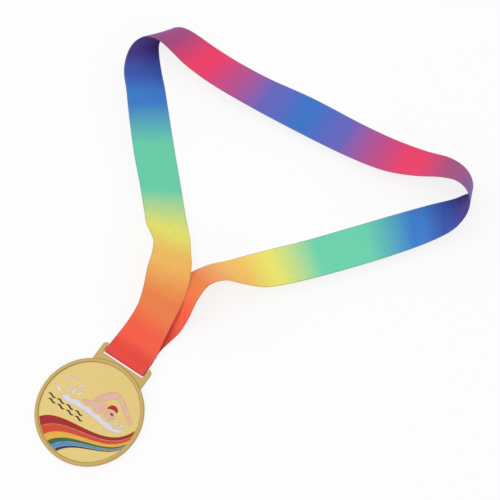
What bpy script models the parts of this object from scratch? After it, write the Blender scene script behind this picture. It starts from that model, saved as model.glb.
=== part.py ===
"""A swimming finisher's medal lying on a table: a die-cast disc with enamel fills, on a printed neck ribbon.

The disc lies face up with the middle of its back at the origin, +Z is up out of the face,
+Y runs from the disc to its ribbon lug and +X is to the right. Units are metres.
"""

import math

import bmesh
import bpy
import numpy as np
from mathutils import Matrix

MM = 0.001
WELD = 0.001 * MM

# The die-cast disc and its rim
DISC_RADIUS = 35.0 * MM
DISC_THICKNESS = 3.0 * MM
RIM_WIDTH = 2.6 * MM
RIM_ROUND = 0.5 * MM
FIELD_RECESS = 0.7 * MM
DISC_STEPS = 96

# The ribbon lug, a flat frame cast on the top of the disc
LUG_THICKNESS = 1.4 * MM
LUG_BASE = 1.2 * MM
LUG_CORNER = 2.5 * MM
EAR_WIDTH = 3.4 * MM
SLOT_SIDE_GAP = 0.6 * MM
SLOT_ABOVE_DISC = 1.0 * MM
SLOT_HEIGHT = 5.0 * MM
SLOT_CORNER = 0.6 * MM
BAR_HEIGHT = 2.2 * MM
LUG_EDGE_ROUND = 0.3 * MM

# The enamel fills and the cells that are cast for them
CELL_DEPTH = 0.5 * MM
FILL_GAP = 0.08 * MM
FILL_SINK = 0.1 * MM
CELL_WALL = 0.35 * MM
ART_MARGIN = 0.3 * MM

# The printed ribbon and its sewn loop round the lug's bar
RIBBON_WIDTH = 30.0 * MM
RIBBON_THICKNESS = 0.4 * MM
LAID_WIDTH = 30.0 * MM
LOOP_SLACK = 0.1 * MM
FOLD_GAP = 1.15 * MM
SEAM_ABOVE_BAR = 7.8 * MM
TAIL_PAST_SEAM = 2.0 * MM
PLY_STEP = 0.7 * MM
FOLD_FULLNESS = 0.3
DRAWN_SEAM_Y = 51.0 * MM
SEAM_FRONT_HEIGHT = 1.85 * MM
SPAN_STEPS = 4
RIBBON_ACROSS = 2
THREAD_RADIUS = 0.18 * MM
THREAD_GAP = 0.1 * MM
SEAM_MARGIN = 2.0 * MM

# Levels and places worked out from the sizes above
FIELD_HEIGHT = DISC_THICKNESS - FIELD_RECESS
FIELD_RADIUS = DISC_RADIUS - RIM_WIDTH
CELL_FLOOR = FIELD_HEIGHT - CELL_DEPTH
ART_RADIUS = FIELD_RADIUS - ART_MARGIN
SLOT_LOWER = DISC_RADIUS + SLOT_ABOVE_DISC
BAR_LOWER = SLOT_LOWER + SLOT_HEIGHT
LUG_TOP = BAR_LOWER + BAR_HEIGHT
SLOT_WIDTH = RIBBON_WIDTH + 2 * SLOT_SIDE_GAP
LUG_WIDTH = SLOT_WIDTH + 2 * EAR_WIDTH
BAR_Y = BAR_LOWER + BAR_HEIGHT / 2
BAR_Z = LUG_BASE + LUG_THICKNESS / 2
SEAM_Y = LUG_TOP + SEAM_ABOVE_BAR

# The art is drawn in millimetres on a disc of this radius, and grows with the real one
DRAWN_RADIUS = 35.0 * MM
ART_SCALE = DISC_RADIUS / DRAWN_RADIUS

# The rainbow band: where its edges leave and meet the field's edge, in degrees, and the pull of its
# two bends in field radii
STRIPES = (
    ("crimson", "B41F31"),
    ("vermilion", "D8452F"),
    ("yellow", "EFB13A"),
    ("green", "2F6B43"),
    ("blue", "4391D2"),
    ("violet", "3B2F55"),
)
BAND_SHARES = (0.0, 0.24, 0.46, 0.64, 0.78, 0.91, 1.0)
BAND_LEFT = (219.0, 266.0)
BAND_RIGHT = (11.0, -17.0)
BAND_RISE = ((-0.436, -0.156), (0.1, -0.645))
BAND_DIP = ((0.704, -0.567), (0.723, -0.611))
BAND_STEPS = 18

# The swimmer, drawn in millimetres from the middle of the disc
SKIN_COLOUR = "E9B7A4"
WATER_COLOUR = "E2DCEC"
FIGURE = {
    "swimmer_body": (
        SKIN_COLOUR,
        [(-8.6, 3.5), (-6.0, 5.0), (-2.4, 7.0), (1.2, 8.8), (4.2, 10.4), (6.6, 9.6),
         (7.2, 7.6), (7.9, 5.8), (7.9, 4.2), (6.4, 2.9), (2.4, 2.4), (-1.8, 3.6), (-5.6, 2.7)],
    ),
    "swimmer_arm": (
        SKIN_COLOUR,
        [(-1.8, 8.2), (0.4, 13.0), (4.0, 17.2), (7.6, 19.4), (11.4, 19.2), (15.4, 17.2), (19.6, 14.2),
         (23.4, 11.4), (26.2, 9.4), (27.0, 7.6), (25.2, 7.2), (22.0, 8.9), (18.4, 11.4), (14.4, 14.2),
         (10.8, 15.8), (8.0, 14.6), (5.6, 11.9), (2.2, 10.2)],
    ),
    "swimmer_face": (
        "EDBFAB",
        [(9.2, 2.8), (9.0, 4.6), (9.2, 6.2), (9.9, 7.3), (11.6, 7.9), (13.6, 8.0), (14.9, 7.7), (15.3, 6.9),
         (15.2, 6.1), (15.7, 5.2), (16.2, 4.5), (15.7, 4.1), (15.6, 3.5), (15.3, 3.1), (15.2, 2.5),
         (14.4, 1.9), (12.8, 2.0), (11.2, 2.5), (10.0, 2.3)],
    ),
    "swimmer_cap": (
        "B3202C",
        [(8.4, 7.4), (8.3, 8.3), (8.7, 9.7), (9.9, 11.1), (12.0, 11.7), (14.2, 10.9), (15.4, 9.5),
         (15.3, 8.6), (13.6, 8.9), (11.4, 8.8), (9.4, 8.2)],
    ),
    "swimmer_goggle": (
        "2A2523",
        [(11.9, 6.2), (12.3, 6.7), (13.2, 6.8), (14.0, 6.5), (14.1, 6.0), (13.4, 5.6), (12.3, 5.7)],
    ),
    "water_crest": (
        WATER_COLOUR,
        [(-21.0, -1.2), (-17.6, 1.4), (-14.2, 0.5), (-10.6, 2.2), (-6.2, 1.0), (-2.0, 2.0), (2.4, 0.8),
         (6.6, 1.5), (11.0, -0.2), (15.4, 0.8), (19.0, -0.6), (22.6, 1.0), (25.6, 2.2), (23.6, -1.2),
         (18.4, -3.0), (12.0, -2.9), (6.0, -2.1), (0.0, -1.8), (-6.0, -1.6), (-12.0, -2.2), (-17.0, -2.7)],
    ),
}
FIGURE_STEPS = 3

# The goggle lies inside the face, which is left open round it
SET_IN = {"swimmer_face": "swimmer_goggle"}

# Splashes as pointed drops: root x and y, length, breadth in millimetres and lean in degrees
SPLASHES = (
    (-18.8, 3.2, 4.6, 1.6, 118.0),
    (-15.9, 3.0, 5.8, 1.7, 97.0),
    (-12.6, 3.9, 4.6, 1.5, 70.0),
    (-22.6, 0.6, 6.6, 1.7, 163.0),
    (18.2, 1.6, 3.6, 1.4, 66.0),
    (21.4, 2.9, 3.4, 1.3, 40.0),
    (-26.6, 10.4, 5.2, 1.1, 24.0),
    (-20.6, 13.6, 3.2, 1.1, -18.0),
    (-15.6, 10.6, 3.8, 1.3, 8.0),
)
DROP_STEPS = 7
DROP_FULLNESS = 0.65

# Rows of long, flat dark wavelets under the water, each row shifted from the one above
WAVELET_ROWS = 2
WAVELETS_IN_ROW = 4
WAVELET_PITCH = 7.0 * ART_SCALE * MM
WAVELET_LENGTH = 5.9 * ART_SCALE * MM
WAVELET_SWING = 0.5 * ART_SCALE * MM
WAVELET_STROKE = 1.1 * ART_SCALE * MM
WAVELET_FIRST = -29.0 * ART_SCALE * MM
WAVELET_LINE = -4.7 * ART_SCALE * MM
WAVELET_ROW_DROP = 2.9 * ART_SCALE * MM
WAVELET_ROW_SHIFT = 2.0 * ART_SCALE * MM
WAVELET_STEPS = 10
WAVELET_TIP = 0.35

# The ribbon's two edges as it lies, in millimetres, from the seam up the front leg, over the
# left fold, along the neck band, round the right fold and down the rear leg to the seam again
RAISED_EDGE = (
    (-13.4, 61.4, 7), (-12.8, 73.5, 14.6), (-15.6, 84.2, 19.3), (-20, 95, 22), (-23.8, 105.9, 21.8),
    (-28.1, 112.9, 20.2), (-33.8, 117.1, 18.4), (-39.1, 120.5, 16.6), (-46.4, 127.8, 14),
    (-60, 142, 13), (-78, 160, 12.6), (-97, 181, 13.6), (-109, 195, 14.6), (-117.5, 204.4, 15.5),
    (-122, 212.5, 16.5), (-123.8, 221, 19), (-123, 227, 20.5), (-119.5, 233, 21.5), (-115.3, 235.4, 21),
    (-111.6, 236.8, 19.5), (-106, 237, 17.5), (-99, 236.2, 15), (-87.6, 234.2, 12.5), (-66, 233, 9.5),
    (-35, 233.7, 8), (1, 236, 6.5), (44, 239.6, 6.6), (70, 243, 9.5), (89.5, 248.7, 14.4),
    (105.9, 255.5, 19.8), (115.9, 257.6, 22.7), (124.2, 255.8, 23.4), (130.9, 249.8, 22.9),
    (133.3, 243, 20.5), (132.9, 236.8, 15.1), (130.7, 229.8, 11.8), (122.7, 217, 8.2),
    (108.7, 197.9, 6.9), (90.7, 175.1, 7.1), (72.7, 154, 7), (59.7, 139.3, 8.2), (48.9, 128.6, 11.1),
    (37.1, 121.5, 16), (27, 116, 20.5), (20.4, 107.5, 21.5), (18.7, 96.5, 18), (19.4, 84, 10.8),
    (18.8, 74, 4.6), (16.2, 65, 1.2), (14.6, 57, 0.5), (15.2, 46.5, 0.4),
)
TABLE_EDGE = (
    (13.6, 62, 4), (12, 74, 6.6), (10.4, 88.6, 9.6), (6.8, 101.9, 9.6), (-1, 116.7, 7),
    (-5.5, 122.4, 5.7), (-8.8, 126.8, 4.8), (-12.2, 131.1, 3.8), (-25, 144, 1.8), (-40, 160, 0.6),
    (-59, 180, 0.6), (-79.5, 202, 0.6), (-92, 215.5, 0.6), (-101.5, 225, 0.6), (-111, 235.5, 0.6),
    (-115.5, 242, 0.6), (-117.3, 248.5, 0.8), (-116.5, 254.5, 1), (-113.8, 259.5, 1),
    (-109.8, 262.3, 1), (-103.5, 263.5, 0.8), (-94.5, 263.3, 0.6), (-83, 262.3, 0.6), (-64, 261.5, 0.6),
    (-36.5, 262.4, 0.6), (-1.5, 266, 1.5), (41.3, 268.7, 0.6), (65.8, 271.4, 0.6), (86.2, 275.3, 1),
    (102.3, 279.4, 2), (113.1, 279.1, 2), (120.9, 275.8, 1.2), (126.2, 269.6, 0.8), (126.6, 265.6, 0.6),
    (124, 261.5, 0.6), (120, 255.5, 0.6), (108, 242, 0.6), (90, 220.5, 0.6), (69, 194.8, 0.6),
    (50.5, 172.4, 0.6), (37, 157.4, 0.6), (26.3, 145.2, 0.6), (15.7, 132.7, 0.6), (8, 124.5, 0.8),
    (1.5, 114.5, 0.8), (-3.5, 102.5, 0.7), (-7, 91.5, 0.6), (-10.5, 79, 0.5), (-12.7, 66, 0.5),
    (-14, 54, 0.4), (-14.4, 46.5, 0.4),
)

GOLD = "D9B866"
RIBBON_RED = "E8503F"
INK = "3A2E1E"


def clear_scene():
    for leftover in list(bpy.data.objects):
        bpy.data.objects.remove(leftover)


def new_collection(name):
    collection = bpy.data.collections.new(name)
    bpy.context.scene.collection.children.link(collection)
    return collection


def linear(hex_colour):
    """The linear red, green, blue and alpha of an sRGB hex colour."""
    shares = [int(hex_colour[i:i + 2], 16) / 255 for i in (0, 2, 4)]
    return [s / 12.92 if s <= 0.04045 else ((s + 0.055) / 1.055) ** 2.4 for s in shares] + [1.0]


def finish(name, hex_colour, roughness, metallic=0.0):
    material = bpy.data.materials.new(name)
    material.use_nodes = True
    shader = material.node_tree.nodes["Principled BSDF"]
    shader.inputs["Base Color"].default_value = linear(hex_colour)
    shader.inputs["Roughness"].default_value = roughness
    shader.inputs["Metallic"].default_value = metallic
    return material


def smooth(points, steps, closed=False):
    """A centripetal Catmull-Rom curve through the points, with so many steps to each span."""
    points = np.array(points, float)
    if closed:
        ring = np.vstack([points[-1], points, points[:2]])
    else:
        ring = np.vstack([2 * points[0] - points[1], points, 2 * points[-1] - points[-2]])
    curve = []
    for before, start, end, after in zip(ring, ring[1:], ring[2:], ring[3:]):
        gaps = [np.sqrt(np.linalg.norm(b - a)) for a, b in ((before, start), (start, end), (end, after))]
        leave = (start - before) / gaps[0] - (end - before) / (gaps[0] + gaps[1]) + (end - start) / gaps[1]
        arrive = (end - start) / gaps[1] - (after - start) / (gaps[1] + gaps[2]) + (after - end) / gaps[2]
        leave = leave * gaps[1]
        arrive = arrive * gaps[1]
        for t in np.arange(steps) / steps:
            bend = (2 * t ** 3 - 3 * t ** 2 + 1) * start + (t ** 3 - 2 * t ** 2 + t) * leave
            curve.append(bend + (3 * t ** 2 - 2 * t ** 3) * end + (t ** 3 - t ** 2) * arrive)
    if not closed:
        curve.append(points[-1])
    return np.array(curve)


def grown(outline, by):
    """The outline moved outwards along its normals."""
    outline = np.array(outline, float)
    along = np.roll(outline, -1, axis=0) - np.roll(outline, 1, axis=0)
    along /= np.linalg.norm(along, axis=1)[:, None]
    outward = np.column_stack([along[:, 1], -along[:, 0]])
    area = np.sum(outline[:, 0] * np.roll(outline[:, 1], -1) - np.roll(outline[:, 0], -1) * outline[:, 1])
    return outline + outward * (by if area > 0 else -by)


def plate(name, outlines, low, high, edge=0.0):
    """A mesh plate between two levels: a filled 2D curve of the outlines, the inner ones being holes."""
    curve = bpy.data.curves.new(name, "CURVE")
    curve.dimensions = "2D"
    curve.fill_mode = "BOTH"
    curve.extrude = (high - low) / 2 - edge
    curve.bevel_depth = edge
    curve.offset = -edge
    curve.bevel_resolution = 1
    for outline in outlines:
        spline = curve.splines.new("POLY")
        spline.points.add(len(outline) - 1)
        spline.use_cyclic_u = True
        for point, (x, y) in zip(spline.points, outline):
            point.co = (x, y, 0, 1)
    drawn = bpy.data.objects.new(name, curve)
    bpy.context.scene.collection.objects.link(drawn)
    bpy.context.view_layer.update()
    mesh = bpy.data.meshes.new_from_object(drawn.evaluated_get(bpy.context.evaluated_depsgraph_get()))
    bpy.data.objects.remove(drawn)
    shape = bmesh.new()
    shape.from_mesh(mesh)
    bmesh.ops.remove_doubles(shape, verts=shape.verts, dist=WELD)
    bmesh.ops.recalc_face_normals(shape, faces=shape.faces)
    bmesh.ops.translate(shape, verts=shape.verts, vec=(0, 0, (low + high) / 2))
    shape.to_mesh(mesh)
    shape.free()
    mesh.name = name
    return mesh


def put(name, data, collection, material=None, parent=None):
    placed = bpy.data.objects.new(name, data)
    collection.objects.link(placed)
    if material:
        data.materials.clear()
        data.materials.append(material)
    if parent:
        placed.parent = parent
        placed.matrix_parent_inverse = Matrix.Translation(-parent.location)
    return placed


def arc(centre, radius, start, end, steps):
    """Points on an arc between two angles in degrees."""
    angles = np.radians(np.linspace(start, end, steps + 1))
    return [(centre[0] + radius * math.cos(a), centre[1] + radius * math.sin(a)) for a in angles]


def round_corners(width, low, high, radius, steps=5):
    """A rectangle about the Y axis with four round corners, anticlockwise."""
    x = width / 2 - radius
    corners = ((x, low, 270), (x, high, 0), (-x, high, 90), (-x, low, 180))
    outline = []
    for cx, edge, start in corners:
        cy = edge + radius if edge == low else edge - radius
        outline += arc((cx, cy), radius, start, start + 90, steps)
    return outline


def lug_frame():
    """The lug's outline stands on the middle of the rim, and its slot takes the ribbon."""
    seat = DISC_RADIUS - RIM_WIDTH / 2
    foot = math.degrees(math.acos(LUG_WIDTH / 2 / seat))
    x = LUG_WIDTH / 2 - LUG_CORNER
    y = LUG_TOP - LUG_CORNER
    outer = arc((0, 0), seat, 180 - foot, foot, 16)
    outer += arc((x, y), LUG_CORNER, 0, 90, 6)
    outer += arc((-x, y), LUG_CORNER, 90, 180, 6)
    slot = round_corners(SLOT_WIDTH, SLOT_LOWER, BAR_LOWER, SLOT_CORNER, 3)
    return plate("lug_frame", [outer, slot], LUG_BASE, LUG_BASE + LUG_THICKNESS, LUG_EDGE_ROUND)


def disc_profile():
    """Half the disc's section, from the middle of the face out over the rim and back under."""
    top = DISC_THICKNESS
    crown = RIM_ROUND
    inner = arc((FIELD_RADIUS + crown, top - crown), crown, 180, 90, 4)
    outer = arc((DISC_RADIUS - crown, top - crown), crown, 90, 0, 4)
    under = arc((DISC_RADIUS - crown, crown), crown, 0, -90, 4)
    return [(0, FIELD_HEIGHT), (FIELD_RADIUS, FIELD_HEIGHT)] + inner + outer + under + [(0, 0)]


def band_edge(share):
    """One edge of the rainbow band: a cubic from the left rim, through a rise and a dip, to the right rim."""
    def between(pair):
        return np.array(pair[0], float) * (1 - share) + np.array(pair[1], float) * share
    left = math.radians(between(BAND_LEFT))
    right = math.radians(between(BAND_RIGHT))
    ends = [ART_RADIUS * np.array((math.cos(a), math.sin(a))) for a in (left, right)]
    bends = [between(BAND_RISE) * ART_RADIUS, between(BAND_DIP) * ART_RADIUS]
    t = np.linspace(0, 1, BAND_STEPS + 1)[:, None]
    return (
        (1 - t) ** 3 * ends[0]
        + 3 * t * (1 - t) ** 2 * bends[0]
        + 3 * t ** 2 * (1 - t) * bends[1]
        + t ** 3 * ends[1]
    )


def stripe_outline(upper_share, lower_share):
    """Between two edges of the band, drawn in by half a cell wall all round."""
    upper = band_edge(upper_share)
    lower = band_edge(lower_share)
    outline = np.vstack([lower, upper[::-1]])
    drawn_in = grown(outline, -CELL_WALL / 2)
    for i, point in enumerate(drawn_in):
        reach = np.linalg.norm(point)
        if reach > ART_RADIUS:
            drawn_in[i] = point * ART_RADIUS / reach
    return drawn_in


def drop_outline(x, y, length, breadth, lean):
    """A drop with a round head at its root and a pointed tail."""
    turn = math.radians(lean)
    t = np.linspace(0, math.pi, DROP_STEPS + 1)
    along = (1 - np.cos(t)) / 2 * length
    half = np.sin(t) * np.cos(t / 2) * breadth * DROP_FULLNESS
    side = np.column_stack([along, half])
    back = np.column_stack([along, -half])[1:-1][::-1]
    shape = np.vstack([side, back])
    rotate = np.array([[math.cos(turn), math.sin(turn)], [-math.sin(turn), math.cos(turn)]])
    return (shape @ rotate + (x, y)) * ART_SCALE * MM


def wavelet_outline(index):
    """A short wave stroke with tapering ends."""
    t = np.linspace(0, 1, WAVELET_STEPS + 1)
    row, place = divmod(index, WAVELETS_IN_ROW)
    x = WAVELET_FIRST + row * WAVELET_ROW_SHIFT + place * WAVELET_PITCH + t * WAVELET_LENGTH
    y = WAVELET_LINE - row * WAVELET_ROW_DROP + WAVELET_SWING * np.sin(2 * math.pi * t)
    half = WAVELET_STROKE / 2 * (WAVELET_TIP + (1 - WAVELET_TIP) * np.sin(math.pi * t))
    upper = np.column_stack([x, y + half])
    lower = np.column_stack([x, y - half])
    return np.vstack([lower, upper[::-1]])


def enamel_outlines():
    """Every fill's name, its outlines, of which any after the first are holes, and its colour."""
    fills = []
    for i, (colour, code) in enumerate(STRIPES):
        fills.append((f"stripe_{colour}", [stripe_outline(BAND_SHARES[i], BAND_SHARES[i + 1])], code))
    drawn = {}
    for name, (_, points) in FIGURE.items():
        drawn[name] = smooth(points, FIGURE_STEPS, closed=True) * ART_SCALE * MM
    for name, (code, _) in FIGURE.items():
        outlines = [drawn[name]]
        if name in SET_IN:
            outlines.append(grown(drawn[SET_IN[name]], CELL_WALL + 2 * FILL_GAP))
        fills.append((name, outlines, code))
    for i, drop in enumerate(SPLASHES):
        fills.append((f"splash_{i + 1}", [drop_outline(*drop)], WATER_COLOUR))
    for i in range(WAVELET_ROWS * WAVELETS_IN_ROW):
        fills.append((f"wavelet_{i + 1}", [wavelet_outline(i)], INK))
    return fills


def make_casting(parts, cutters, pivot, fills):
    """The turned disc, joined to the lug and cut with a cell for each fill."""
    profile = disc_profile()
    mesh = bpy.data.meshes.new("medal_casting")
    mesh.from_pydata([(r, 0, z) for r, z in profile], [(i, i + 1) for i in range(len(profile) - 1)], [])
    casting = put("medal_casting", mesh, parts, finish("gold_plated_zinc", GOLD, 0.35, 1.0), pivot)
    turn = casting.modifiers.new("turn", "SCREW")
    turn.steps = DISC_STEPS
    turn.render_steps = DISC_STEPS
    turn.use_merge_vertices = True
    turn.merge_threshold = 0.01 * MM
    lug = put("lug_blank", lug_frame(), cutters)
    join = casting.modifiers.new("lug", "BOOLEAN")
    join.operation = "UNION"
    join.object = lug
    for name, outlines, _ in fills:
        rims = [grown(outlines[0], FILL_GAP)]
        rims += [grown(hole, -FILL_GAP) for hole in outlines[1:]]
        pocket = plate(name, rims, CELL_FLOOR, DISC_THICKNESS)
        cell = put(f"cell_{name}", pocket, cutters)
        cut = casting.modifiers.new(f"cell_{name}", "BOOLEAN")
        cut.operation = "DIFFERENCE"
        cut.object = cell
    for helper in cutters.objects:
        helper.hide_render = True
        helper.display_type = "WIRE"


def make_fills(parts, pivot, fills):
    for name, outlines, code in fills:
        mesh = plate(name, outlines, CELL_FLOOR + FILL_GAP, FIELD_HEIGHT - FILL_SINK)
        put(name, mesh, parts, finish(f"{name}_enamel", code, 0.25), pivot)


def loop_section():
    """The loop round the bar as (y, z), from the tail behind, under the bar, up through the slot and over."""
    clear = math.hypot(BAR_HEIGHT, LUG_THICKNESS) / 2 + RIBBON_THICKNESS / 2 + LOOP_SLACK
    back = BAR_Z - clear
    front = BAR_Z + clear
    fold = SLOT_LOWER + FOLD_GAP + RIBBON_THICKNESS / 2
    bend = (front - back) / 2
    turn = bend * FOLD_FULLNESS
    behind_seam = SEAM_FRONT_HEIGHT - PLY_STEP
    rise = (SEAM_Y - LUG_TOP) / 2
    return [
        (SEAM_Y + TAIL_PAST_SEAM, behind_seam),
        (SEAM_Y, behind_seam),
        (LUG_TOP + rise, (behind_seam * 2 + back) / 3),
        (LUG_TOP, back),
        (BAR_LOWER, back),
        (fold + bend, back),
        (fold + turn, back + turn),
        (fold, BAR_Z),
        (fold + turn, front - turn),
        (fold + bend, front),
        (BAR_LOWER, front),
        (LUG_TOP, front),
        (LUG_TOP + rise, (SEAM_FRONT_HEIGHT + front) / 2),
        (SEAM_Y, SEAM_FRONT_HEIGHT),
    ]


def ribbon_edges():
    """The raised and the table edge of the whole ribbon, from its tail to its other end."""
    half = RIBBON_WIDTH / 2
    loop = loop_section()
    raised = [(-half, y, z) for y, z in loop]
    table = [(half, y, z) for y, z in loop]
    reach = RIBBON_WIDTH / LAID_WIDTH
    shift = np.array((0, SEAM_Y - DRAWN_SEAM_Y, 0))
    for high, low in zip(np.array(RAISED_EDGE) * MM + shift, np.array(TABLE_EDGE) * MM + shift):
        middle = (high + low) / 2
        raised.append(tuple(middle + (high - middle) * reach))
        table.append(tuple(middle + (low - middle) * reach))
    return smooth(raised, SPAN_STEPS), smooth(table, SPAN_STEPS)


def make_ribbon(parts):
    """A flat grid laid between the two edges and given its thickness."""
    raised, table = ribbon_edges()
    shape = bmesh.new()
    bmesh.ops.create_grid(shape, x_segments=len(raised) - 1, y_segments=RIBBON_ACROSS, size=1)
    for vertex in shape.verts:
        along = round((vertex.co.x + 1) / 2 * (len(raised) - 1))
        across = (vertex.co.y + 1) / 2
        vertex.co = raised[along] * across + table[along] * (1 - across)
    mesh = bpy.data.meshes.new("neck_ribbon")
    shape.to_mesh(mesh)
    shape.free()
    mesh.shade_smooth()
    ribbon = put("neck_ribbon", mesh, parts, finish("printed_satin", RIBBON_RED, 0.5))
    wall = ribbon.modifiers.new("thickness", "SOLIDIFY")
    wall.thickness = RIBBON_THICKNESS
    wall.offset = 0


def make_seam(parts):
    """The row of lockstitch that closes the loop, lying on the front of the ribbon."""
    curve = bpy.data.curves.new("seam_stitching", "CURVE")
    curve.dimensions = "3D"
    curve.bevel_depth = THREAD_RADIUS
    curve.bevel_resolution = 2
    curve.use_fill_caps = True
    spline = curve.splines.new("POLY")
    spline.points.add(1)
    reach = RIBBON_WIDTH / 2 - SEAM_MARGIN
    height = SEAM_FRONT_HEIGHT + RIBBON_THICKNESS / 2 + THREAD_GAP + THREAD_RADIUS
    for point, x in zip(spline.points, (-reach, reach)):
        point.co = (x, SEAM_Y, height, 1)
    put("seam_stitching", curve, parts, finish("polyester_thread", RIBBON_RED, 0.6))


def main():
    clear_scene()
    parts = new_collection("finisher_medal")
    cutters = new_collection("cutters")
    pivot = bpy.data.objects.new("medal_swing_axis", None)
    pivot.location = (0, BAR_Y, BAR_Z)
    parts.objects.link(pivot)
    fills = enamel_outlines()
    make_casting(parts, cutters, pivot, fills)
    make_fills(parts, pivot, fills)
    make_ribbon(parts)
    make_seam(parts)


main()
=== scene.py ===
# %% [markdown]
# # A finisher's medal on its neck ribbon
# The medal is a gold plated zinc casting with enamel in sunken cells. A printed satin ribbon passes
# through its lug and is sewn to itself, so the medal turns on the ribbon as on a hinge. The packed
# CAD model gives the frame. Every piece made here sits in it, in metres, and rides on one of its two
# bodies. A CAD piece whose shape is already right stays, and only gets a better finish.

# %% Load the frame
import math

import bpy
import numpy as np
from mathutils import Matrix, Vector


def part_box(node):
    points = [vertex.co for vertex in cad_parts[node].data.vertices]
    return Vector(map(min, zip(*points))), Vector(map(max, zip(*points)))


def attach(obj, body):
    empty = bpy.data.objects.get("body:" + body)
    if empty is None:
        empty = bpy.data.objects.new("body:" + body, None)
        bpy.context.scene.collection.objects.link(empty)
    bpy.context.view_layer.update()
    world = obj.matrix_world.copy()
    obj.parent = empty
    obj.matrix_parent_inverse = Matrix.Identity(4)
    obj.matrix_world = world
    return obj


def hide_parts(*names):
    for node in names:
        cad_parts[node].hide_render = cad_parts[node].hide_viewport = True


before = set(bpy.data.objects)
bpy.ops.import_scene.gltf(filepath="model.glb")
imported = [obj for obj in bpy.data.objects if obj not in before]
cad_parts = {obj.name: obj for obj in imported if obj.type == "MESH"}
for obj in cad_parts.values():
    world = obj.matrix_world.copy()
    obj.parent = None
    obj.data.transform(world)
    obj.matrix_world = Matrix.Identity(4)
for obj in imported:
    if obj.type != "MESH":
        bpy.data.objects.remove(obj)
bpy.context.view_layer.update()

MM = 0.001

# %% [markdown]
# The camera looks down at the table at about 70 degrees, from the lower right of the medal. It could
# be turned by hand or by a Track To constraint. Here its place and the point it looks at are given,
# and the turn is worked out from them, so that each can be changed on its own. A long lens keeps the
# disc nearly round. The Standard view shows a colour as it is written.

# %% Camera
CAMERA_PLACE = Vector((0.1760, -0.0809, 0.7546))
CAMERA_AIM = Vector((0.0244, 0.1481, 0.0))
SENSOR_WIDTH = 36.0
FOCAL_LENGTH = 86.4


def turn_towards(place, aim):
    """The turn of a camera or lamp that stands at a place and points at an aim."""
    return (aim - place).to_track_quat("-Z", "Y").to_euler()


camera_data = bpy.data.cameras.new("camera")
camera_data.sensor_width = SENSOR_WIDTH
camera_data.lens = FOCAL_LENGTH
camera = bpy.data.objects.new("camera", camera_data)
bpy.context.scene.collection.objects.link(camera)
camera.location = CAMERA_PLACE
camera.rotation_euler = turn_towards(CAMERA_PLACE, CAMERA_AIM)
bpy.context.scene.camera = camera
bpy.context.scene.view_settings.view_transform = "Standard"
print("camera is", round((CAMERA_AIM - CAMERA_PLACE).length, 3), "m from its aim")

# %% [markdown]
# The ribbon is one strap. It lies on its lower edge in places and leans up in others. A cloth
# simulation could drape it, but not into chosen folds, and a curve with a flat profile would twist
# where it likes. So the shape is given by the routes of its two edges. The first points are the loop
# round the lug's bar. The rest run up the front leg, along the neck band and down the rear leg to the
# seam.

# %% Points of the ribbon's two edges, in millimetres
HALF_WIDTH = 15.0
# In the loop both edges have the same y and z, half a width to each side
LOOP = (
    (53, 1.15), (51, 1.15), (47.1, 0.865), (43.2, 0.296), (41, 0.296), (38.954, 0.296),
    (37.831, 0.777), (37.35, 1.9), (37.831, 3.023), (38.954, 3.504), (41, 3.504), (43.2, 3.504),
    (47.1, 2.677), (51, 1.85),
)
RAISED_EDGE = (
    (-13.4, 61.4, 7), (-12.8, 73.5, 14.6), (-15.6, 84.2, 19.3), (-20, 95, 22), (-23.8, 105.9, 21.8),
    (-28.1, 112.9, 20.2), (-33.8, 117.1, 18.4), (-39.1, 120.5, 16.6), (-46.4, 127.8, 14),
    (-60, 142, 13), (-78, 160, 12.6), (-97, 181, 13.6), (-109, 195, 14.6), (-117.5, 204.4, 15.5),
    (-122, 212.5, 16.5), (-123.8, 221, 19), (-123, 227, 20.5), (-119.5, 233, 21.5), (-115.3, 235.4, 21),
    (-111.6, 236.8, 19.5), (-106, 237, 17.5), (-99, 236.2, 15), (-87.6, 234.2, 12.5), (-66, 233, 9.5),
    (-35, 233.7, 8), (1, 236, 6.5), (44, 239.6, 6.6), (70, 243, 9.5), (89.5, 248.7, 14.4),
    (105.9, 255.5, 19.8), (115.9, 257.6, 22.7), (124.2, 255.8, 23.4), (130.9, 249.8, 22.9),
    (133.3, 243, 20.5), (132.9, 236.8, 15.1), (130.7, 229.8, 11.8), (122.7, 217, 8.2),
    (108.7, 197.9, 6.9), (90.7, 175.1, 7.1), (72.7, 154, 7), (59.7, 139.3, 8.2), (48.9, 128.6, 11.1),
    (37.1, 121.5, 16), (27, 116, 20.5), (20.4, 107.5, 21.5), (18.7, 96.5, 18), (19.4, 84, 10.8),
    (18.8, 74, 4.6), (16.2, 65, 1.2), (14.6, 57, 0.5), (15.2, 46.5, 0.4),
)
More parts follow.
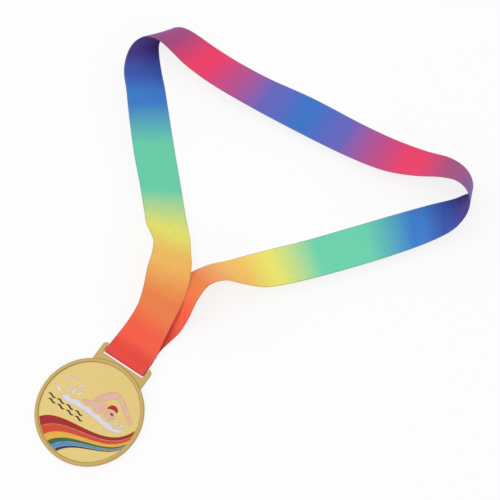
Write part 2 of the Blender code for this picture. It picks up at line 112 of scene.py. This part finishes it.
TABLE_EDGE = (
    (13.6, 62, 4), (12, 74, 6.6), (10.4, 88.6, 9.6), (6.8, 101.9, 9.6), (-1, 116.7, 7),
    (-5.5, 122.4, 5.7), (-8.8, 126.8, 4.8), (-12.2, 131.1, 3.8), (-25, 144, 1.8), (-40, 160, 0.6),
    (-59, 180, 0.6), (-79.5, 202, 0.6), (-92, 215.5, 0.6), (-101.5, 225, 0.6), (-111, 235.5, 0.6),
    (-115.5, 242, 0.6), (-117.3, 248.5, 0.8), (-116.5, 254.5, 1), (-113.8, 259.5, 1),
    (-109.8, 262.3, 1), (-103.5, 263.5, 0.8), (-94.5, 263.3, 0.6), (-83, 262.3, 0.6), (-64, 261.5, 0.6),
    (-36.5, 262.4, 0.6), (-1.5, 266, 1.5), (41.3, 268.7, 0.6), (65.8, 271.4, 0.6), (86.2, 275.3, 1),
    (102.3, 279.4, 2), (113.1, 279.1, 2), (120.9, 275.8, 1.2), (126.2, 269.6, 0.8), (126.6, 265.6, 0.6),
    (124, 261.5, 0.6), (120, 255.5, 0.6), (108, 242, 0.6), (90, 220.5, 0.6), (69, 194.8, 0.6),
    (50.5, 172.4, 0.6), (37, 157.4, 0.6), (26.3, 145.2, 0.6), (15.7, 132.7, 0.6), (8, 124.5, 0.8),
    (1.5, 114.5, 0.8), (-3.5, 102.5, 0.7), (-7, 91.5, 0.6), (-10.5, 79, 0.5), (-12.7, 66, 0.5),
    (-14, 54, 0.4), (-14.4, 46.5, 0.4),
)
print("points on each edge", len(LOOP) + len(RAISED_EDGE), "and", len(LOOP) + len(TABLE_EDGE))

# %% [markdown]
# Straight runs between those points would show as kinks. A Bezier curve would round them, but needs
# two handles at every point. A Catmull-Rom curve needs only the points, and passes through them all.
# The centripetal kind is used, because it makes no small loops where points stand close together.

# %% Smooth edges
ALONG_STEPS = 8


def smooth(points, steps):
    """A centripetal Catmull-Rom curve through the points."""
    points = np.array(points, float)
    ring = np.vstack([2 * points[0] - points[1], points, 2 * points[-1] - points[-2]])
    curve = []
    for before, start, end, after in zip(ring, ring[1:], ring[2:], ring[3:]):
        pairs = ((before, start), (start, end), (end, after))
        lead, span, trail = [np.sqrt(np.linalg.norm(b - a)) for a, b in pairs]
        leave = (start - before) / lead - (end - before) / (lead + span) + (end - start) / span
        arrive = (end - start) / span - (after - start) / (span + trail) + (after - end) / trail
        for t in np.arange(steps) / steps:
            from_start = (2 * t ** 3 - 3 * t ** 2 + 1) * start + (t ** 3 - 2 * t ** 2 + t) * leave * span
            to_end = (3 * t ** 2 - 2 * t ** 3) * end + (t ** 3 - t ** 2) * arrive * span
            curve.append(from_start + to_end)
    curve.append(points[-1])
    return np.array(curve)


raised = smooth([(-HALF_WIDTH, y, z) for y, z in LOOP] + list(RAISED_EDGE), ALONG_STEPS) * MM
table = smooth([(HALF_WIDTH, y, z) for y, z in LOOP] + list(TABLE_EDGE), ALONG_STEPS) * MM
middle = (raised + table) / 2
run = np.concatenate([[0], np.cumsum(np.linalg.norm(np.diff(middle, axis=0), axis=1))])

# %% [markdown]
# A strap of cloth is a sheet with a little thickness. One edge could be extruded step by step, but a
# grid already has all the rows, and a UV map as well. Each row is moved onto the line between the two
# edges. The UV map gets real metres along and across, so that print and weave follow the cloth. The
# Solidify modifier then gives the thickness, evenly to both sides.

# %% Neck ribbon
ACROSS_STEPS = 14
RIBBON_THICKNESS = 0.4 * MM
GRID_SIZE = 2.0
CLOTH_MAP = "cloth_metres"
SOFT_ANGLE = math.radians(40)


def make_active(piece):
    """Select one piece alone, so that operators act on nothing else."""
    bpy.ops.object.select_all(action="DESELECT")
    piece.select_set(True)
    bpy.context.view_layer.objects.active = piece


rows = len(run) - 1
bpy.ops.object.select_all(action="DESELECT")
bpy.ops.mesh.primitive_grid_add(x_subdivisions=rows, y_subdivisions=ACROSS_STEPS, size=GRID_SIZE)
ribbon = bpy.context.object
ribbon.name = "satin_neck_ribbon"
cloth_places = []
for vertex in ribbon.data.vertices:
    row = round((vertex.co.x / GRID_SIZE + 0.5) * rows)
    across = vertex.co.y / GRID_SIZE + 0.5
    cloth_places.append((run[row], across * 2 * HALF_WIDTH * MM))
    vertex.co = raised[row] * across + table[row] * (1 - across)
layer = ribbon.data.uv_layers.active
layer.name = CLOTH_MAP
for corner in ribbon.data.loops:
    layer.data[corner.index].uv = cloth_places[corner.vertex_index]
make_active(ribbon)
wall = ribbon.modifiers.new("thickness", "SOLIDIFY")
wall.thickness = RIBBON_THICKNESS
wall.offset = 0
bpy.ops.object.modifier_apply(modifier=wall.name)
bpy.ops.object.shade_smooth_by_angle(angle=SOFT_ANGLE)
print("ribbon faces", len(ribbon.data.polygons))

# %% [markdown]
# Finishes are built from shader nodes. They could be set by hand in the Shader Editor, but then
# nothing could be repeated or read, so a few helpers come first. Colours are written as sRGB hex and
# Blender shades in linear light, so one function converts them. Another adds a node, sets it and
# links it in one call.

# %% Helpers for colours and nodes
def linear(code):
    """The linear colour of an sRGB hex code, by the sRGB standard's own curve."""
    shares = [int(code[i:i + 2], 16) / 255 for i in (0, 2, 4)]
    return [s / 12.92 if s <= 0.04045 else ((s + 0.055) / 1.055) ** 2.4 for s in shares] + [1.0]


def add_node(material, kind, links=None, values=None, **settings):
    """A node with its settings, its socket values and what feeds its sockets."""
    tree = material.node_tree
    node = tree.nodes.new(kind)
    for key, value in settings.items():
        setattr(node, key, value)
    for socket, value in (values or {}).items():
        node.inputs[socket].default_value = value
    for socket, source in (links or {}).items():
        tree.links.new(source, node.inputs[socket])
    return node


def new_material(name):
    """A material and its shader."""
    material = bpy.data.materials.new(name)
    material.use_nodes = True
    return material, material.node_tree.nodes["Principled BSDF"]


def dress(piece, material):
    """Give a piece one material in place of those it has."""
    piece.data.materials.clear()
    piece.data.materials.append(material)


print("mid grey 808080 is", round(linear("808080")[0], 3), "in linear light")

# %% [markdown]
# The cloth is woven polyester satin with a rainbow printed on it, in dyes that melt into each other.
# An image could carry the print, but it would blur close up. A list of dyes stays sharp at any size,
# and each dye can be read and changed. The print mirrors about the middle of the neck band, so the
# place of a dye is its distance from that middle along the cloth.

# %% Dyes of the print
# Each dye covers a band, from and to a distance in metres from the middle of the neck band, and
# blends into the next. The last band is no dye but painted shade, a darker red where the loop folds
# round the lug's bar
PRINT = (
    ("blue", 0.000, 0.004, "4078D0"),
    ("violet", 0.026, 0.030, "6A6AC4"),
    ("magenta", 0.054, 0.056, "C25294"),
    ("rose red", 0.076, 0.086, "F6406C"),
    ("plum", 0.108, 0.112, "AA4886"),
    ("indigo", 0.132, 0.140, "52409A"),
    ("royal blue", 0.154, 0.158, "4060BA"),
    ("azure", 0.172, 0.180, "4084D6"),
    ("mint", 0.212, 0.246, "70DAB4"),
    ("lemon", 0.276, 0.280, "F2EE70"),
    ("amber", 0.298, 0.304, "FFC868"),
    ("orange", 0.328, 0.336, "F68850"),
    ("coral", 0.352, 0.360, "FC6248"),
    ("red", 0.370, 0.376, "EE4C42"),
    # Painted shade: the cloth turns this darker red where the loop folds round the lug's bar
    ("painted fold shade", 0.386, 0.390, "C03030"),
)
for dye, near, far, code in PRINT:
    print(f"{dye} dye {code} from {near / MM:.0f} to {far / MM:.0f} mm")

# %% [markdown]
# Blender's Color Ramp node blends between stops of set colours. A chain of Mix nodes could do the
# same, but would be hard to follow. Each dye gives two stops, where its band starts and where it ends.
# The ramp is fed with the distance from the middle of the neck band, which the UV map gives.

# %% Printed rainbow
NECK_MIDDLE = 0.3952
# The ramp spans this distance in metres, and a ramp holds 32 stops at most
RAMP_REACH = 0.40
satin, shader = new_material("woven_polyester_satin_printed")
cloth = add_node(satin, "ShaderNodeUVMap", uv_map=CLOTH_MAP)
split = add_node(satin, "ShaderNodeSeparateXYZ", {"Vector": cloth.outputs["UV"]})
along = add_node(satin, "ShaderNodeMath", {0: split.outputs["X"]}, {1: NECK_MIDDLE}, operation="SUBTRACT")
away = add_node(satin, "ShaderNodeMath", {0: along.outputs[0]}, operation="ABSOLUTE")
reach = add_node(satin, "ShaderNodeMath", {0: away.outputs[0]}, {1: RAMP_REACH}, operation="DIVIDE")
ramp = add_node(satin, "ShaderNodeValToRGB", {"Fac": reach.outputs[0]})
stops = ramp.color_ramp.elements
while len(stops) > 1:
    stops.remove(stops[-1])
stops[0].color = linear(PRINT[0][-1])
for _, near, far, code in PRINT:
    for place in (near, far):
        stops.new(place / RAMP_REACH).color = linear(code)
print("ramp stops", len(stops))

# %% [markdown]
# Satin is woven with long floats, threads that pass over several others before they dip under one,
# and they give it its soft shine. Threads could be modelled, at the cost of millions of faces. A noise
# that is stretched along the cloth is enough at the size they are seen. It brightens and darkens the
# print a little, thread by thread.

# %% Floats of the weave
# Real satin floats are about 2 mm long and 0.1 mm wide, drawn here coarser so that they show
FLOAT_LENGTH = 6.0 * MM
FLOAT_WIDTH = 0.6 * MM
FLOAT_DETAIL = 3.0
FLOAT_DARK = 0.88
FLOAT_BRIGHT = 1.12
warp = add_node(satin, "ShaderNodeVectorMath", {0: cloth.outputs["UV"]},
                {1: (1 / FLOAT_LENGTH, 1 / FLOAT_WIDTH, 0)}, operation="MULTIPLY")
# The vector already counts floats, so the noise itself has a scale of 1
floats = add_node(satin, "ShaderNodeTexNoise", {"Vector": warp.outputs["Vector"]},
                  {"Scale": 1.0, "Detail": FLOAT_DETAIL})
slub = add_node(satin, "ShaderNodeMapRange", {"Value": floats.outputs["Fac"]},
                {"To Min": FLOAT_DARK, "To Max": FLOAT_BRIGHT})
woven = add_node(satin, "ShaderNodeHueSaturation",
                 {"Color": ramp.outputs["Color"], "Value": slub.outputs["Result"]})
print("floats across the strap", round(2 * HALF_WIDTH * MM / FLOAT_WIDTH))

# %% [markdown]
# Fine ribs run across the strap, where the crossing threads press through. They could be cut into the
# mesh, but they are lower than a tenth of a millimetre. A bump tilts the shading without moving the
# surface, which is all that such a low rib gives the eye, and a wave texture gives its even beat.

# %% Ribs of the weave
# Real ribs are about 0.3 mm apart, drawn here three times as coarse so that they show
RIB_PITCH = 0.9 * MM
RIB_HEIGHT = 0.05 * MM
RIB_STRENGTH = 0.2
RIB_WAVER = 0.4
RIB_DETAIL = 2.0
# Blender's wave texture runs through 20 radians to each unit of its scale
WAVE_RADIANS = 20
ribs = add_node(satin, "ShaderNodeTexWave", {"Vector": cloth.outputs["UV"]},
                {"Scale": 2 * math.pi / RIB_PITCH / WAVE_RADIANS,
                 "Distortion": RIB_WAVER, "Detail": RIB_DETAIL},
                wave_type="BANDS", bands_direction="X")
bump = add_node(satin, "ShaderNodeBump", {"Height": ribs.outputs["Fac"]},
                {"Strength": RIB_STRENGTH, "Distance": RIB_HEIGHT})

# %% [markdown]
# A woven ribbon doesn't fray, because each side is bound by a selvage, a narrow denser strip that
# looks a little greyer than the print. It could be a strip of faces with a finish of its own. The UV
# map already tells how far a point is from the middle of the strap, so a plain comparison does it.

# %% Selvage and finished satin
SELVAGE = 0.7 * MM
SELVAGE_SHARE = 0.28
SELVAGE_GREY = "8C7A80"
SATIN_ROUGHNESS = 0.45
SATIN_SPECULAR = 0.15
inset = add_node(satin, "ShaderNodeMath", {0: split.outputs["Y"]}, {1: HALF_WIDTH * MM},
                 operation="SUBTRACT")
offset = add_node(satin, "ShaderNodeMath", {0: inset.outputs[0]}, operation="ABSOLUTE")
bound = add_node(satin, "ShaderNodeMath", {0: offset.outputs[0]}, {1: HALF_WIDTH * MM - SELVAGE},
                 operation="GREATER_THAN")
edging = add_node(satin, "ShaderNodeMath", {0: bound.outputs[0]}, {1: SELVAGE_SHARE},
                  operation="MULTIPLY")
tint = add_node(satin, "ShaderNodeMix", {"Factor": edging.outputs[0], "A": woven.outputs["Color"]},
                {"B": linear(SELVAGE_GREY)}, data_type="RGBA")
satin.node_tree.links.new(tint.outputs["Result"], shader.inputs["Base Color"])
satin.node_tree.links.new(bump.outputs["Normal"], shader.inputs["Normal"])
# Printed polyester satin gives the eye deep colour under a soft, broad shine
shader.inputs["Roughness"].default_value = SATIN_ROUGHNESS
shader.inputs["Specular IOR Level"].default_value = SATIN_SPECULAR
dress(ribbon, satin)
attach(ribbon, "ribbon")
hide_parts("neck_ribbon")
print("satin nodes", len(satin.node_tree.nodes))

# %% [markdown]
# The loop is closed by one row of lockstitch. A curve with a round profile could draw the row in one
# go, but each stitch dips into the cloth and shows as a short plump thread of its own. So one stitch
# is made from a cylinder whose ends are rounded by a Bevel modifier, and an Array modifier repeats it
# across the strap.

# %% Seam stitches
STITCHES = 12
STITCH_SHARE = 0.78
THREAD_SIDES = 12
END_ROUNDING = 0.9
END_STEPS = 3
seam_low, seam_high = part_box("seam_stitching")
seam_middle = (seam_low + seam_high) / 2
stitch_radius = (seam_high.z - seam_low.z) / 2
pitch = (seam_high.x - seam_low.x) / STITCHES
bpy.ops.object.select_all(action="DESELECT")
bpy.ops.mesh.primitive_cylinder_add(
    vertices=THREAD_SIDES, radius=stitch_radius, depth=pitch * STITCH_SHARE,
    location=(seam_low.x + pitch / 2, seam_middle.y, seam_middle.z), rotation=(0, math.pi / 2, 0)
)
stitches = bpy.context.object
stitches.name = "lockstitch_row"
bpy.ops.object.transform_apply(location=True, rotation=True, scale=True)
ends = stitches.modifiers.new("ends", "BEVEL")
ends.width = stitch_radius * END_ROUNDING
ends.segments = END_STEPS
ends.limit_method = "ANGLE"
bpy.ops.object.modifier_apply(modifier=ends.name)
repeat = stitches.modifiers.new("row", "ARRAY")
repeat.count = STITCHES
repeat.use_relative_offset = False
repeat.use_constant_offset = True
repeat.constant_offset_displace = (pitch, 0, 0)
bpy.ops.object.modifier_apply(modifier=repeat.name)
bpy.ops.object.shade_smooth_by_angle(angle=SOFT_ANGLE)
print(f"{STITCHES} stitches, {pitch / MM:.2f} mm apart, of {2 * stitch_radius / MM:.2f} mm thread")

# %% [markdown]
# Sewing thread is polyester twisted from plies. The twist could be modelled as a helix, but in so thin
# a thread it would never show, so a fine noise mixes a lighter and a darker ply instead.

# %% Twisted polyester thread
PLY = 0.4 * MM
PLY_DARK = "E66E5E"
PLY_LIGHT = "F48E80"
THREAD_ROUGHNESS = 0.6
thread, shader = new_material("polyester_thread_twisted")
coords = add_node(thread, "ShaderNodeTexCoord")
plies = add_node(thread, "ShaderNodeTexNoise", {"Vector": coords.outputs["Object"]}, {"Scale": 1 / PLY})
tint = add_node(thread, "ShaderNodeMix", {"Factor": plies.outputs["Fac"]},
                {"A": linear(PLY_DARK), "B": linear(PLY_LIGHT)}, data_type="RGBA")
thread.node_tree.links.new(tint.outputs["Result"], shader.inputs["Base Color"])
# Thread gives the eye a matt line, a shade lighter than the cloth
shader.inputs["Roughness"].default_value = THREAD_ROUGHNESS
dress(stitches, thread)
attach(stitches, "ribbon")
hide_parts("seam_stitching")
print("thread nodes", len(thread.node_tree.nodes))

# %% [markdown]
# The disc, its rim, the enamel cells and the lug are one die casting, and the CAD node already has
# that shape. It could be modelled again, but then the cells might no longer fit their fills. So a copy
# of its mesh is used. The copy's loose triangles are merged, so that round walls can be shaded smooth,
# while level faces stay flat and reflect evenly.

# %% Medal casting
MERGE_GAP = 0.002 * MM
CAST_ANGLE = math.radians(35)
LEVEL = 0.999
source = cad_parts["medal_casting"]
casting = bpy.data.objects.new("gold_plated_casting", source.data.copy())
bpy.context.scene.collection.objects.link(casting)
make_active(casting)
bpy.ops.object.mode_set(mode="EDIT")
bpy.ops.mesh.select_all(action="SELECT")
bpy.ops.mesh.remove_doubles(threshold=MERGE_GAP)
bpy.ops.object.mode_set(mode="OBJECT")
bpy.ops.object.shade_smooth_by_angle(angle=CAST_ANGLE)
for face in casting.data.polygons:
    if abs(face.normal.z) > LEVEL:
        face.use_smooth = False
print("casting faces", len(casting.data.polygons))

# %% [markdown]
# The casting is zinc with gold plating. Its field is sandblasted, so it is matt with a fine grain,
# while the rim and the lug are polished. Two materials on two sets of faces could part them. One
# material that compares the distance from the middle does the same, and needs no faces picked out.

# %% Grain and polish of the gold
# The polish starts a little inside the rim's wall, so the whole wall is bright
POLISH_RADIUS = 32.2 * MM
# Real blast grit leaves pits of about 0.2 mm, drawn here three times as coarse so that they show
GRAIN = 0.6 * MM
GRAIN_DETAIL = 4.0
GRAIN_ROUGHNESS = 0.7
LEVEL_PLANE = (1, 1, 0)
gold, shader = new_material("gold_plated_zinc_sandblasted")
coords = add_node(gold, "ShaderNodeTexCoord")
level = add_node(gold, "ShaderNodeVectorMath", {0: coords.outputs["Object"]}, {1: LEVEL_PLANE},
                 operation="MULTIPLY")
radius = add_node(gold, "ShaderNodeVectorMath", {0: level.outputs["Vector"]}, operation="LENGTH")
polished = add_node(gold, "ShaderNodeMath", {0: radius.outputs["Value"]}, {1: POLISH_RADIUS},
                    operation="GREATER_THAN")
blasted = add_node(gold, "ShaderNodeMath", {1: polished.outputs[0]}, {0: 1.0}, operation="SUBTRACT")
grain = add_node(gold, "ShaderNodeTexNoise", {"Vector": coords.outputs["Object"]},
                 {"Scale": 1 / GRAIN, "Detail": GRAIN_DETAIL, "Roughness": GRAIN_ROUGHNESS})
print("grains across the field", round(2 * POLISH_RADIUS / GRAIN))

# %% [markdown]
# A shiny yellow paint would not look like gold, because paint reflects white. Gold tints what it
# reflects, so the shader is fully metallic and its base colour is that tint. The grain sets the tone
# and the bump of the blasted field. The polished rim and lug get less roughness, no bump and a darker
# tint, which is painted reflection: it stands in for the dim surroundings that polished gold mirrors.

# %% Gold plated zinc
PIT_TONE = "C3A658"
PEAK_TONE = "FDE8A4"
# Painted reflection: the polished gold's tint is darkened for the dim surroundings it would mirror
POLISHED_PAINTED_DARK_TINT = "BB9E62"
BLASTED_ROUGHNESS = 0.5
POLISHED_ROUGHNESS = 0.22
PIT_STRENGTH = 0.8
PIT_DEPTH = 0.05 * MM
field = add_node(gold, "ShaderNodeMix", {"Factor": grain.outputs["Fac"]},
                 {"A": linear(PIT_TONE), "B": linear(PEAK_TONE)}, data_type="RGBA")
tone = add_node(gold, "ShaderNodeMix", {"Factor": polished.outputs[0], "A": field.outputs["Result"]},
                {"B": linear(POLISHED_PAINTED_DARK_TINT)}, data_type="RGBA")
gloss = add_node(gold, "ShaderNodeMix", {"Factor": polished.outputs[0]},
                 {"A": BLASTED_ROUGHNESS, "B": POLISHED_ROUGHNESS}, data_type="FLOAT")
strength = add_node(gold, "ShaderNodeMath", {0: blasted.outputs[0]}, {1: PIT_STRENGTH},
                    operation="MULTIPLY")
bump = add_node(gold, "ShaderNodeBump", {"Height": grain.outputs["Fac"], "Strength": strength.outputs[0]},
                {"Distance": PIT_DEPTH})
gold.node_tree.links.new(tone.outputs["Result"], shader.inputs["Base Color"])
gold.node_tree.links.new(gloss.outputs["Result"], shader.inputs["Roughness"])
gold.node_tree.links.new(bump.outputs["Normal"], shader.inputs["Normal"])
# Blasted gold gives the eye a soft glitter, and polished gold, painted darker, a clear edge to the disc
shader.inputs["Metallic"].default_value = 1.0
dress(casting, gold)
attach(casting, "medal")
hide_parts("medal_casting")
print("gold nodes", len(gold.node_tree.nodes))

# %% [markdown]
# The fills are soft enamel: coloured lacquer poured into the cells, glossy, with a slightly uneven
# tone where it settled. Ten materials could be set up one by one, but they differ in colour alone, so
# one function makes the lacquer in each.

# %% Poured enamel
# The lacquer settles in clouds of about 3.3 mm, the width of a stripe
CLOUD = 10 / 3 * MM
CLOUD_DETAIL = 3.0
CLOUD_DARK = 0.88
CLOUD_BRIGHT = 1.12
SETTLED_STRENGTH = 0.15
SETTLED_DEPTH = 0.1 * MM
ENAMEL_ROUGHNESS = 0.3
ENAMEL_SPECULAR = 0.3


def poured_enamel(name, code):
    """The lacquer of one slot, in its colour."""
    enamel, shader = new_material(f"poured_{name}")
    coords = add_node(enamel, "ShaderNodeTexCoord")
    cloud = add_node(enamel, "ShaderNodeTexNoise", {"Vector": coords.outputs["Object"]},
                     {"Scale": 1 / CLOUD, "Detail": CLOUD_DETAIL})
    value = add_node(enamel, "ShaderNodeMapRange", {"Value": cloud.outputs["Fac"]},
                     {"To Min": CLOUD_DARK, "To Max": CLOUD_BRIGHT})
    tone = add_node(enamel, "ShaderNodeHueSaturation", {"Value": value.outputs["Result"]},
                    {"Color": linear(code)})
    settled = add_node(enamel, "ShaderNodeBump", {"Height": cloud.outputs["Fac"]},
                       {"Strength": SETTLED_STRENGTH, "Distance": SETTLED_DEPTH})
    enamel.node_tree.links.new(tone.outputs["Color"], shader.inputs["Base Color"])
    enamel.node_tree.links.new(settled.outputs["Normal"], shader.inputs["Normal"])
    # Lacquer gives the eye an even gloss over full colour
    shader.inputs["Roughness"].default_value = ENAMEL_ROUGHNESS
    shader.inputs["Specular IOR Level"].default_value = ENAMEL_SPECULAR
    return enamel


print("clouds across the field", round(2 * POLISH_RADIUS / CLOUD))

# %% [markdown]
# Each fill is a CAD node that already has the shape of its cell. It could be copied and replaced, as
# the casting was, but there is nothing to mend. So the nodes stay, and only their material changes.
# The list gives each lacquer its colour and the fills that it was poured into.

# %% Enamel fills
ENAMEL = {
    "crimson_enamel": ("A8181C", ["stripe_crimson"]),
    "vermilion_enamel": ("D8452F", ["stripe_vermilion"]),
    "yellow_enamel": ("EFB13A", ["stripe_yellow"]),
    "green_enamel": ("2F6B43", ["stripe_green"]),
    "blue_enamel": ("4391D2", ["stripe_blue"]),
    "violet_enamel": ("3B2F55", ["stripe_violet"]),
    "skin_enamel": ("E9B7A4", ["swimmer_body", "swimmer_arm", "swimmer_face"]),
    "red_enamel": ("B3202C", ["swimmer_cap"]),
    "dark_enamel": ("3A2E1E", ["swimmer_goggle"] + [f"wavelet_{i}" for i in range(1, 9)]),
    "white_enamel": ("E2DCEC", ["water_crest"] + [f"splash_{i}" for i in range(1, 10)]),
}
for slot, (code, names) in ENAMEL.items():
    enamel = poured_enamel(slot, code)
    for name in names:
        dress(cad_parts[name], enamel)
print("fills dressed", sum(len(names) for _, names in ENAMEL.values()))

# %% [markdown]
# A pale paper floor takes the object's soft shadow. More lamps could make it white, but they would
# bleach the colours of the object as well. So the light stays plain, and the paper mixes in a white
# glow for rays from the camera and for reflections alone. The floor isn't part of the object.

# %% Floor
FLOOR_SIZE = 30
PAPER = "FCFCFC"
PAPER_ROUGHNESS = 0.9
PAPER_GLOW = 0.82
WHITE = (1, 1, 1, 1)
bpy.ops.object.select_all(action="DESELECT")
bpy.ops.mesh.primitive_plane_add(size=FLOOR_SIZE)
floor = bpy.context.object
floor.name = "floor"
paper, shader = new_material("pale_paper_matt")
shader.inputs["Base Color"].default_value = linear(PAPER)
shader.inputs["Roughness"].default_value = PAPER_ROUGHNESS
ray = add_node(paper, "ShaderNodeLightPath")
seen = add_node(paper, "ShaderNodeMath",
                {0: ray.outputs["Is Camera Ray"], 1: ray.outputs["Is Glossy Ray"]}, operation="MAXIMUM")
lift = add_node(paper, "ShaderNodeMath", {0: seen.outputs[0]}, {1: PAPER_GLOW}, operation="MULTIPLY")
glow = add_node(paper, "ShaderNodeEmission", values={"Color": WHITE, "Strength": 1.0})
blend = add_node(paper, "ShaderNodeMixShader",
                 {0: lift.outputs[0], 1: shader.outputs["BSDF"], 2: glow.outputs["Emission"]})
surface = paper.node_tree.nodes["Material Output"].inputs["Surface"]
paper.node_tree.links.new(blend.outputs["Shader"], surface)
dress(floor, paper)
print("floor", FLOOR_SIZE, "m wide")

# %% [markdown]
# The light is that of a product picture: an even white room, and one large softbox to the left. A sun
# lamp would be simpler, but its hard shadow doesn't belong here. The wider the lamp, the softer the
# shadow.

# %% Light
ROOM_STRENGTH = 0.77
SOFTBOX_PLACE = Vector((-0.9, -0.3, 1.2))
SOFTBOX_AIM = Vector((0, 0.12, 0))
SOFTBOX_SIZE = 2.4
SOFTBOX_WATTS = 9.0
world = bpy.data.worlds.new("soft_room")
world.use_nodes = True
room = world.node_tree.nodes["Background"]
room.inputs["Color"].default_value = WHITE
room.inputs["Strength"].default_value = ROOM_STRENGTH
bpy.context.scene.world = world
lamp_data = bpy.data.lights.new("softbox", "AREA")
lamp_data.shape = "SQUARE"
lamp_data.size = SOFTBOX_SIZE
lamp_data.energy = SOFTBOX_WATTS
lamp = bpy.data.objects.new("softbox", lamp_data)
bpy.context.scene.collection.objects.link(lamp)
lamp.location = SOFTBOX_PLACE
lamp.rotation_euler = turn_towards(SOFTBOX_PLACE, SOFTBOX_AIM)
print("softbox is", round((SOFTBOX_AIM - SOFTBOX_PLACE).length, 2), "m from the medal's ribbon")
